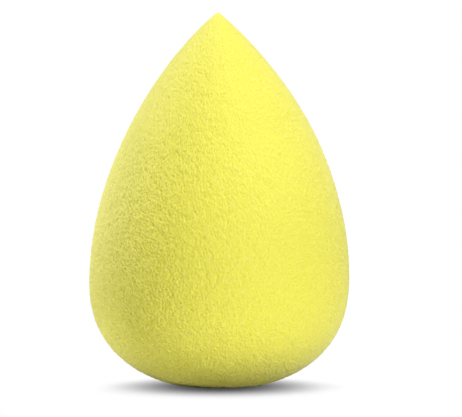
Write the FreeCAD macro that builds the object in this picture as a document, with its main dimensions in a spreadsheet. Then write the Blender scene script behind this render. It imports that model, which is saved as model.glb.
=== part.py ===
"""Teardrop makeup sponge: one piece of soft foam, round about its upright axis.

The outline starts at the small round that blunts the tip, runs down a straight cone that swells into
the belly, and turns in under the belly to the flat foot that the sponge stands on. Two free curves
make it, one above the widest circle and one below, and both cross that circle upright.

Units are millimetres. +Z is up, and the origin is the middle of the foot.
"""

import FreeCAD
import Part
import Sketcher
import math
import os

from types import SimpleNamespace

from FreeCAD import Vector

# The driving dimensions. Each fullness says how far the outline keeps its heading before it turns, as a
# share of the room that it turns in, so a larger one makes that stretch fuller.
SIZES = {
    "height": 60.0,  # foot to tip
    "body_diameter": 41.8,  # the widest circle
    "widest_height": 16.7,  # foot to the widest circle
    "tip_angle": 96.0,  # degrees between opposite sides of the cone below the tip
    "tip_radius": 0.55,  # the round that blunts the tip
    "foot_diameter": 10.0,  # the flat that rests on a table
    "flank_fullness": 0.69,  # of the widest radius, below the tip
    "shoulder_fullness": 0.32,  # of the rise to the tip, above the widest circle
    "belly_fullness": 0.80,  # of the drop to the foot, below the widest circle
    "foot_fullness": 0.24,  # of the step from the foot's rim out to the widest radius
}

# How a sketch names the points of a line, an arc or a circle, and its own origin
START, END, CENTRE = range(1, 4)
SKETCH_ORIGIN = (-1, START)
SKETCH_NORMAL = Vector(0, 0, 1)

POLE_MARK_RADIUS = 1.0  # of the construction circles that mark a curve's poles


def make_sheet(doc):
    """The spreadsheet of driving dimensions: a name and a plain number on each row."""
    sheet = doc.addObject("Spreadsheet::Sheet", "sizes")
    for row, (name, value) in enumerate(SIZES.items(), start=1):
        sheet.set(f"A{row}", name)
        sheet.set(f"B{row}", str(value))
        sheet.setAlias(f"B{row}", name)
    doc.recompute()
    return sheet


def tie(sketch, *constraint):
    """Adds one constraint to the sketch and returns its number."""
    return sketch.addConstraint(Sketcher.Constraint(*constraint))


def drive(sketch, name, expression, *constraint):
    """Adds a named dimension to the sketch and binds it to the sheet."""
    number = tie(sketch, *constraint, sketch.evalExpression(expression))
    sketch.renameConstraint(number, name)
    sketch.setExpression(f"Constraints.{name}", expression)


def add_line(sketch, start, end, construction=False):
    """Adds a straight line to the sketch."""
    return sketch.addGeometry(Part.LineSegment(start, end), construction)


def add_curve(sketch, poles):
    """Adds one free curve on its poles, and returns the marks at the poles, which hold the curve."""
    circles = [Part.Circle(pole, SKETCH_NORMAL, POLE_MARK_RADIUS) for pole in poles]
    marks = [sketch.addGeometry(circle, True) for circle in circles]
    degree = len(poles) - 1
    curve = sketch.addGeometry(Part.BSplineCurve(poles, None, None, False, degree, None, False))
    tie(sketch, "Weight", marks[0], POLE_MARK_RADIUS)
    for mark in marks[1:]:
        tie(sketch, "Equal", marks[0], mark)
    for number, mark in enumerate(marks):
        tie(sketch, "InternalAlignment:Sketcher::BSplineControlPoint", mark, CENTRE, curve, number)
    return marks


def outline_places(sheet):
    """Where the outline's points lie, out from the axis and up from the foot."""
    lean = math.radians(sheet.tip_angle / 2)
    foot_rim = Vector(sheet.foot_diameter / 2, 0)
    widest = Vector(sheet.body_diameter / 2, sheet.widest_height)
    tip_centre = Vector(0, sheet.height - sheet.tip_radius)
    tip_side = tip_centre + sheet.tip_radius * Vector(math.cos(lean), math.sin(lean))
    flank_run = sheet.flank_fullness * widest.x
    return SimpleNamespace(
        middle=Vector(),
        foot_rim=foot_rim,
        under=foot_rim + Vector(sheet.foot_fullness * (widest.x - foot_rim.x), 0),
        belly=widest - Vector(0, sheet.belly_fullness * widest.y),
        widest=widest,
        shoulder=widest + Vector(0, sheet.shoulder_fullness * (sheet.height - widest.y)),
        flank=tip_side + Vector(flank_run, -flank_run / math.tan(lean)),
        tip_side=tip_side,
        tip_centre=tip_centre,
        tip=Vector(0, sheet.height),
        lean=lean,
    )


def draw_outline(sketch, at, tip_radius):
    """Half of the outline: axis, foot, tip and the two curves, with their points tied together."""
    axis = add_line(sketch, at.middle, at.tip)
    foot = add_line(sketch, at.middle, at.foot_rim)
    flank = add_line(sketch, at.tip_side, at.flank, construction=True)
    tip_circle = Part.Circle(at.tip_centre, SKETCH_NORMAL, tip_radius)
    tip = sketch.addGeometry(Part.ArcOfCircle(tip_circle, at.lean, math.pi / 2))
    upper = add_curve(sketch, [at.tip_side, at.flank, at.shoulder, at.widest])
    lower = add_curve(sketch, [at.widest, at.belly, at.under, at.foot_rim])

    # The axis and the foot start at the origin, and the tip's round is centred on the axis
    tie(sketch, "Coincident", axis, START, *SKETCH_ORIGIN)
    tie(sketch, "Coincident", foot, START, *SKETCH_ORIGIN)
    tie(sketch, "Coincident", axis, END, tip, END)
    tie(sketch, "Vertical", axis)
    tie(sketch, "Horizontal", foot)
    tie(sketch, "PointOnObject", tip, CENTRE, axis)

    # The upper curve leaves the tip's round along the flank and comes down upright to the widest circle
    tie(sketch, "Tangent", tip, START, flank, START)
    tie(sketch, "Coincident", upper[0], CENTRE, flank, START)
    tie(sketch, "Coincident", upper[1], CENTRE, flank, END)
    tie(sketch, "Vertical", upper[2], CENTRE, upper[3], CENTRE)

    # The lower curve leaves the widest circle upright and runs level into the foot
    tie(sketch, "Coincident", lower[0], CENTRE, upper[3], CENTRE)
    tie(sketch, "Vertical", lower[1], CENTRE, lower[0], CENTRE)
    tie(sketch, "Horizontal", lower[2], CENTRE, lower[3], CENTRE)
    tie(sketch, "Coincident", lower[3], CENTRE, foot, END)
    return SimpleNamespace(axis=axis, foot=foot, flank=flank, tip=tip, upper=upper, lower=lower)


def size_outline(sketch, drawn):
    """Binds every size of the outline to the sheet."""
    upper, lower = drawn.upper, drawn.lower
    widest = (lower[0], CENTRE)
    flank_ends = (drawn.flank, START, drawn.flank, END)

    drive(sketch, "height", "sizes.height", "DistanceY", drawn.axis, START, drawn.axis, END)
    drive(sketch, "widest_radius", "sizes.body_diameter / 2", "DistanceX", *SKETCH_ORIGIN, *widest)
    drive(sketch, "widest_height", "sizes.widest_height", "DistanceY", *SKETCH_ORIGIN, *widest)
    drive(sketch, "foot_radius", "sizes.foot_diameter / 2", "DistanceX", drawn.foot, START, drawn.foot, END)
    drive(sketch, "tip_radius", "sizes.tip_radius", "Radius", drawn.tip)
    drive(sketch, "flank_heading", "(sizes.tip_angle / 2 - 90) * 1 deg", "Angle", drawn.flank)

    flank_run = "sizes.flank_fullness * sizes.body_diameter / 2"
    shoulder_run = "sizes.shoulder_fullness * (sizes.height - sizes.widest_height)"
    belly_run = "sizes.belly_fullness * sizes.widest_height"
    under_run = "sizes.foot_fullness * (sizes.body_diameter - sizes.foot_diameter) / 2"
    drive(sketch, "flank_run", flank_run, "DistanceX", *flank_ends)
    drive(sketch, "shoulder_run", shoulder_run, "DistanceY", *widest, upper[2], CENTRE)
    drive(sketch, "belly_run", belly_run, "DistanceY", lower[1], CENTRE, *widest)
    drive(sketch, "under_run", under_run, "DistanceX", lower[3], CENTRE, lower[2], CENTRE)


def make_sponge(doc, sheet):
    """The sponge: its half outline, on the upright plane through the axis, turned once round."""
    body = doc.addObject("PartDesign::Body", "sponge")
    sketch = body.newObject("Sketcher::SketchObject", "outline")
    upright_plane = next(plane for plane in body.Origin.OriginFeatures if plane.Role == "XZ_Plane")
    sketch.AttachmentSupport = (upright_plane, [""])
    sketch.MapMode = "FlatFace"
    drawn = draw_outline(sketch, outline_places(sheet), sheet.tip_radius)
    size_outline(sketch, drawn)
    doc.recompute()
    if not sketch.FullyConstrained:
        raise RuntimeError("the outline isn't held by its sizes")

    turned = body.newObject("PartDesign::Revolution", "turned")
    turned.Profile = sketch
    turned.ReferenceAxis = (sketch, ["V_Axis"])
    turned.Angle = 360
    doc.recompute()
    return body


def check(doc, pieces):
    """Stops if any object of the document failed or any piece has no sound solid."""
    failed = [thing.Name for thing in doc.Objects if {"Invalid", "Error"} & set(thing.State)]
    if failed:
        raise RuntimeError("failed: " + ", ".join(failed))
    for piece in pieces:
        if piece.Shape.isNull() or not piece.Shape.isValid():
            raise RuntimeError("no sound shape: " + piece.Label)


def main():
    doc = FreeCAD.newDocument("makeup_sponge")
    sheet = make_sheet(doc)
    pieces = [make_sponge(doc, sheet)]
    check(doc, pieces)
    os.makedirs("parts", exist_ok=True)
    for piece in pieces:
        piece.Shape.exportStep(f"parts/{piece.Label}.step")
        print(piece.Label, piece.Shape.BoundBox, f"{piece.Shape.Volume:.0f} mm3")


main()
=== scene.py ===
"""Looks of the teardrop makeup sponge: its foam, and the white table that it stands on.

The foam is one closed mesh, wrapped on the solid of the frame, with its dimples and pores in the mesh. A
grain about as fine as the mesh's squares is in the material. Lengths are in metres, and +Z is up.
"""

import math
import random

import bpy
import numpy
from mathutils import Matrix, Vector


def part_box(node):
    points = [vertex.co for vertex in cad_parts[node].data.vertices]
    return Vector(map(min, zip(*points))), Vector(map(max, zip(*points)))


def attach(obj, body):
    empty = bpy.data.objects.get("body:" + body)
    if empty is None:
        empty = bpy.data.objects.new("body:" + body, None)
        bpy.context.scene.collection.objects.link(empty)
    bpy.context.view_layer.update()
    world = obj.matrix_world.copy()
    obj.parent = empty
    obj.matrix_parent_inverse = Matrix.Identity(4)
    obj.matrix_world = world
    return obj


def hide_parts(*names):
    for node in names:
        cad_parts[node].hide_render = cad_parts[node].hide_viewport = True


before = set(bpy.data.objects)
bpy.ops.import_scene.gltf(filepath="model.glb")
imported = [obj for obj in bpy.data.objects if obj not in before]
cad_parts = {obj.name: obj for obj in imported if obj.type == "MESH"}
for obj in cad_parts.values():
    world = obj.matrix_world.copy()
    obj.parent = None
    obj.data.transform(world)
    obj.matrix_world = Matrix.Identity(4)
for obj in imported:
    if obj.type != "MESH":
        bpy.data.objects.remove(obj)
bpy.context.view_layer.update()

MM = 0.001

# The foam's mesh: squares along each edge of a cube, which is rounded and wrapped on the solid, and how
# often those squares are then cut in four
BLANK_SQUARES = 32
BLANK_HALVINGS = 3

# The solid's outline: the digits that its places are rounded to, where it starts, and the steps it is read in
PLACE_DIGITS = 6
FOOT_MIDDLE = (0, 0)
OUTLINE_STEPS = 5000

# The room between the islands of the foam's map
MAP_MARGIN = 0.01

# The relief of the foam: the width of its features, and their height or depth
UNEVENNESS_WIDTH = 14 * MM
UNEVENNESS_HEIGHT = 0.15 * MM
DIMPLE_WIDTH = 1.1 * MM
DIMPLE_DEPTH = 0.10 * MM
LARGE_PORE_WIDTH = 0.6 * MM
LARGE_PORE_DEPTH = 0.08 * MM
GRAIN_WIDTH = 0.2 * MM
GRAIN_HEIGHT = 0.02 * MM

# The values of the large pores' noise at their bottom and at their rim, and the level that the solid keeps
LARGE_PORE_RANGE = (0.18, 0.34)
RIM_LEVEL = 1.0

# The fine pores, one at each point of the mesh: the depth of the deepest, the share of it by which the foam
# between them stands out, how rare the deep ones are, how far they are rounded off, and their chance. They
# fade out over the last stretch to the tip, which keeps its point.
PORE_DEPTH = 0.34 * MM
PORE_RISE = 0.25
PORE_RARITY = 2
PORE_ROUNDING = 0.5
PORE_SEED = 7
TIP_FADE = 1.5 * MM

# How much of the pores' slopes the shading leaves out, because light enters the foam and softens them
SHADING_SOFTNESS = 0.5

# How far the sponge bows to the side, in how many waves, and how much more towards its tip
BOW = 0.21 * MM
BOW_WAVES = 0.75
BOW_GROWTH = 2.65

# The foam's yellow, deepened by painted shade in its pits and paled by a painted sheen on the ridges between
# them, and the pointiness of the mesh in a full pit
PIT_YELLOW_WITH_PAINTED_SHADE = (0.875, 0.82, 0.008, 1)
RIDGE_YELLOW_WITH_PAINTED_SHEEN = (0.915, 0.87, 0.15, 1)
PAINTED_PIT_SHADE_POINTINESS = 0.45

# How the foam shines: its gloss, the roughness of that over the grain, and the soft sheen at its rims
GLOSS = 0.6
GLOSS_ROUGHNESS = (0.6, 0.8)
SHEEN = 0.3
SHEEN_ROUGHNESS = 0.6

# The camera, which sees the sponge as the photograph does
CAMERA_DISTANCE = 600 * MM
CAMERA_HEIGHT = 55.7 * MM
AIM_HEIGHT = 28.5 * MM
CAMERA_OFFSET = 1.92 * MM
CAMERA_LENS = 290.6
CAMERA_NEAREST = 10 * MM

# The lamps, as their level, their angle round from the camera to its right, their angle up and their spread.
# At a level of 1 a colour shows as it is written.
LAMPS = {
    "key_softbox": (0.575, 38, 22, 8),
    "top_softbox": (0.58, -120, 84, 12),
    "rim_softbox": (0.43, -115, 20, 15),
}
SKY_LEVEL = 0.15

# The table
FLOOR_SIZE = 8.0
FLOOR_COLOUR = 0.80

# Its shadow: the share of open sky at which the table looks white, how far off the sponge still takes sky
# away, and how far the middle of that sky leans to the back
WHITE_SKY_SHARE = 0.55
SHADOW_REACH = 0.5
SKY_BACK = 0.42


def select_only(piece):
    """Makes this the one selected object, and the active one."""
    bpy.ops.object.select_all(action="DESELECT")
    piece.select_set(True)
    bpy.context.view_layer.objects.active = piece


def apply_modifier(piece, kind, **settings):
    """Adds a modifier with these settings and applies it."""
    modifier = piece.modifiers.new(kind.lower(), kind)
    for name, value in settings.items():
        setattr(modifier, name, value)
    select_only(piece)
    bpy.ops.object.modifier_apply(modifier=modifier.name)


def surface_shares(solid):
    """Rings of the solid from foot to tip: the share of its surface below each, and its radius and height."""
    points = [point.co for point in solid.data.vertices]
    places = {(round(at.z, PLACE_DIGITS), round(at.xy.length, PLACE_DIGITS)) for at in points}
    places = sorted(places | {FOOT_MIDDLE})
    steps = numpy.linspace(0, len(places) - 1, OUTLINE_STEPS)
    heights, radii = [numpy.interp(steps, range(len(places)), values) for values in zip(*places)]
    bands = numpy.hypot(numpy.diff(heights), numpy.diff(radii)) * (radii[1:] + radii[:-1])
    shares = numpy.append(0, numpy.cumsum(bands)) / bands.sum()
    return shares, radii, heights


def make_blank(solid):
    """A closed skin of small even squares on the solid: a cube, with its squares spread over the solid."""
    shares, radii, heights = surface_shares(solid)
    bpy.ops.object.select_all(action="DESELECT")
    bpy.ops.mesh.primitive_cube_add(size=1)
    piece = bpy.context.object
    bpy.ops.object.mode_set(mode="EDIT")
    bpy.ops.uv.smart_project(island_margin=MAP_MARGIN)
    bpy.ops.mesh.subdivide(number_cuts=BLANK_SQUARES - 1)
    bpy.ops.object.mode_set(mode="OBJECT")
    for point in piece.data.vertices:
        way = Vector([math.tan(c * math.pi / 2) for c in point.co]).normalized()
        share_below = (1 + way.z) / 2
        turn = math.atan2(way.y, way.x)
        radius = numpy.interp(share_below, shares, radii)
        height = numpy.interp(share_below, shares, heights)
        point.co = (radius * math.cos(turn), radius * math.sin(turn), height)
    apply_modifier(piece, "SUBSURF", levels=BLANK_HALVINGS, render_levels=BLANK_HALVINGS)
    apply_modifier(
        piece, "SHRINKWRAP", target=solid, wrap_method="PROJECT",
        use_negative_direction=True, use_positive_direction=True,
    )
    piece.data.uv_layers[0].name = "OFBake"
    return piece


def noise(name, width, depth=1):
    """A soft noise with features of this width, and finer ones for each step of depth."""
    texture = bpy.data.textures.new(name, "CLOUDS")
    texture.noise_scale = width
    texture.noise_depth = depth
    return texture


def pores(name, width, bottom, rim):
    """A noise that is level, but for the pits where it falls below its rim value."""
    texture = noise(name, width)
    texture.use_color_ramp = True
    pit, level = texture.color_ramp.elements
    pit.position, level.position = bottom, rim
    pit.color = (0, 0, 0, 1)
    level.color = (1, 1, 1, 1)
    return texture


def roughen(piece, texture, height, middle=0.5):
    """Gives the foam a relief of this height, in which the texture's middle value stays where it is."""
    apply_modifier(
        piece, "DISPLACE", texture=texture, texture_coords="LOCAL", strength=height, mid_level=middle
    )


def prick(piece, ways, height):
    """Pushes each point of the foam in by a chance depth, and rounds off the fine pores that this makes."""
    chance = random.Random(PORE_SEED)
    for point, way in zip(piece.data.vertices, ways):
        depth = PORE_DEPTH * min((height - point.co.z) / TIP_FADE, 1)
        point.co += way * depth * (PORE_RISE - chance.random() ** PORE_RARITY)
    apply_modifier(piece, "SMOOTH", factor=PORE_ROUNDING, iterations=1)


def soften_shading(piece, ways):
    """Shades the pores more softly than they slope, with these as the ways that smooth foam would face."""
    points = zip(piece.data.vertices, ways)
    normals = [point.normal.lerp(way, SHADING_SOFTNESS).normalized() for point, way in points]
    piece.data.normals_split_custom_set_from_vertices(normals)


def settle(piece, height):
    """Presses the foot flat on the table, and bows the sponge a little to the side on its way up."""
    for point in piece.data.vertices:
        point.co.z = max(point.co.z, 0)
        rise = point.co.z / height
        point.co.x += BOW * math.sin(2 * math.pi * BOW_WAVES * rise**BOW_GROWTH)


def add_node(tree, kind, **inputs):
    """Adds a node and sets its sockets, which are named with underscores."""
    node = tree.nodes.new(kind)
    for name, value in inputs.items():
        node.inputs[name.replace("_", " ")].default_value = value
    return node


def yellow_with_painted_pit_shade_and_ridge_sheen(tree):
    """The foam's yellow, with painted shade that deepens it in its pits and a painted sheen that pales the
    ridges between them.
    """
    shape = tree.nodes.new("ShaderNodeNewGeometry")
    # The mesh's pointiness sets where the painted pit shade and the painted ridge sheen fall
    painted_shade_and_sheen_mask = add_node(tree, "ShaderNodeMapRange", From_Min=PAINTED_PIT_SHADE_POINTINESS, From_Max=1 - PAINTED_PIT_SHADE_POINTINESS)
    colour = tree.nodes.new("ShaderNodeValToRGB")
    colour.color_ramp.elements[0].color = PIT_YELLOW_WITH_PAINTED_SHADE
    colour.color_ramp.elements[1].color = RIDGE_YELLOW_WITH_PAINTED_SHEEN
    tree.links.new(shape.outputs["Pointiness"], painted_shade_and_sheen_mask.inputs["Value"])
    tree.links.new(painted_shade_and_sheen_mask.outputs["Result"], colour.inputs["Fac"])
    return colour.outputs["Color"]


def foam_material():
    """Matte yellow foam, with a soft sheen and a grain about as fine as its mesh."""
    material = bpy.data.materials.new("yellow_foam")
    material.use_nodes = True
    tree = material.node_tree
    foam = tree.nodes["Principled BSDF"]
    foam.inputs["Specular IOR Level"].default_value = GLOSS
    foam.inputs["Sheen Weight"].default_value = SHEEN
    foam.inputs["Sheen Roughness"].default_value = SHEEN_ROUGHNESS
    # The base colour carries painted shade in the pits and a painted sheen on the ridges
    tree.links.new(yellow_with_painted_pit_shade_and_ridge_sheen(tree), foam.inputs["Base Color"])

    place = tree.nodes.new("ShaderNodeTexCoord")
    grain = add_node(tree, "ShaderNodeTexNoise", Scale=1 / GRAIN_WIDTH, Detail=1)
    smoothest, roughest = GLOSS_ROUGHNESS
    roughness = add_node(tree, "ShaderNodeMapRange", To_Min=smoothest, To_Max=roughest)
    bump = add_node(tree, "ShaderNodeBump", Distance=GRAIN_HEIGHT)
    tree.links.new(place.outputs["Object"], grain.inputs["Vector"])
    tree.links.new(grain.outputs["Fac"], roughness.inputs["Value"])
    tree.links.new(grain.outputs["Fac"], bump.inputs["Height"])
    tree.links.new(roughness.outputs["Result"], foam.inputs["Roughness"])
    tree.links.new(bump.outputs["Normal"], foam.inputs["Normal"])
    return material


def make_foam():
    """The sponge's foam, in place of its solid."""
    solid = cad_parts["sponge"]
    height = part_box("sponge")[1].z
    piece = make_blank(solid)
    piece.name = piece.data.name = "foam"
    roughen(piece, noise("uneven_grinding", UNEVENNESS_WIDTH, depth=0), UNEVENNESS_HEIGHT)
    roughen(piece, noise("dimples", DIMPLE_WIDTH), DIMPLE_DEPTH)
    ways = [point.normal.copy() for point in piece.data.vertices]
    roughen(piece, pores("large_pores", LARGE_PORE_WIDTH, *LARGE_PORE_RANGE), LARGE_PORE_DEPTH, RIM_LEVEL)
    prick(piece, ways, height)
    settle(piece, height)
    bpy.ops.object.shade_smooth()
    soften_shading(piece, ways)
    piece.data.materials.append(foam_material())
    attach(piece, "root")
    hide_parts("sponge")


def camera_sees(tree):
    """1 for rays from the camera, or from glossy or clear surfaces, and 0 for the rest."""
    path = tree.nodes.new("ShaderNodeLightPath")
    seen = path.outputs["Is Camera Ray"]
    for name in ("Is Glossy Ray", "Is Transmission Ray"):
        either = tree.nodes.new("ShaderNodeMath")
        either.operation = "MAXIMUM"
        tree.links.new(seen, either.inputs[0])
        tree.links.new(path.outputs[name], either.inputs[1])
        seen = either.outputs[0]
    return seen


def make_floor():
    """A white table, which keeps the sponge's shadow."""
    bpy.ops.object.select_all(action="DESELECT")
    bpy.ops.mesh.primitive_plane_add(size=FLOOR_SIZE)
    floor = bpy.context.object
    floor.name = "floor"
    material = bpy.data.materials.new("white_table")
    material.use_nodes = True
    tree = material.node_tree
    tree.nodes.clear()
    output = tree.nodes.new("ShaderNodeOutputMaterial")
    lit = add_node(tree, "ShaderNodeBsdfDiffuse", Color=(FLOOR_COLOUR, FLOOR_COLOUR, FLOOR_COLOUR, 1))
    sky_middle = add_node(tree, "ShaderNodeCombineXYZ", Y=SKY_BACK, Z=1)
    open_sky = add_node(tree, "ShaderNodeAmbientOcclusion", Distance=SHADOW_REACH)
    shadow = add_node(tree, "ShaderNodeMapRange", From_Max=WHITE_SKY_SHARE)
    seen = add_node(tree, "ShaderNodeEmission")
    either = tree.nodes.new("ShaderNodeMixShader")
    tree.links.new(sky_middle.outputs["Vector"], open_sky.inputs["Normal"])
    tree.links.new(open_sky.outputs["AO"], shadow.inputs["Value"])
    tree.links.new(shadow.outputs["Result"], seen.inputs["Strength"])
    tree.links.new(camera_sees(tree), either.inputs["Fac"])
    tree.links.new(lit.outputs["BSDF"], either.inputs[1])
    tree.links.new(seen.outputs["Emission"], either.inputs[2])
    tree.links.new(either.outputs["Shader"], output.inputs["Surface"])
    material.cycles.emission_sampling = "NONE"
    floor.data.materials.append(material)


def make_sky():
    """An even white sky."""
    world = bpy.data.worlds.new("white_studio")
    bpy.context.scene.world = world
    world.use_nodes = True
    tree = world.node_tree
    level = add_node(tree, "ShaderNodeMapRange", To_Min=SKY_LEVEL, To_Max=1)
    tree.links.new(camera_sees(tree), level.inputs["Value"])
    sky = tree.nodes["Background"]
    sky.inputs["Color"].default_value = (1, 1, 1, 1)
    tree.links.new(level.outputs["Result"], sky.inputs["Strength"])


def make_lamp(name, level, round_right, up, spread):
    """A broad soft lamp, so far away that it lights the whole table alike."""
    bpy.ops.object.light_add(type="SUN")
    lamp = bpy.context.object
    lamp.name = name
    lamp.data.energy = level * math.pi
    lamp.data.angle = math.radians(spread)
    lamp.rotation_euler = (math.radians(90 - up), 0, math.radians(round_right))


def make_camera():
    """A long lens, a little above the table."""
    place = Vector((CAMERA_OFFSET, -CAMERA_DISTANCE, CAMERA_HEIGHT))
    aim = Vector((CAMERA_OFFSET, 0, AIM_HEIGHT))
    bpy.ops.object.camera_add(location=place)
    camera = bpy.context.object
    camera.data.lens = CAMERA_LENS
    camera.data.clip_start = CAMERA_NEAREST
    camera.rotation_euler = (aim - place).to_track_quat("-Z", "Y").to_euler()
    bpy.context.scene.camera = camera


make_foam()
make_floor()
make_sky()
for name, settings in LAMPS.items():
    make_lamp(name, *settings)
make_camera()
bpy.context.scene.view_settings.view_transform = "Standard"
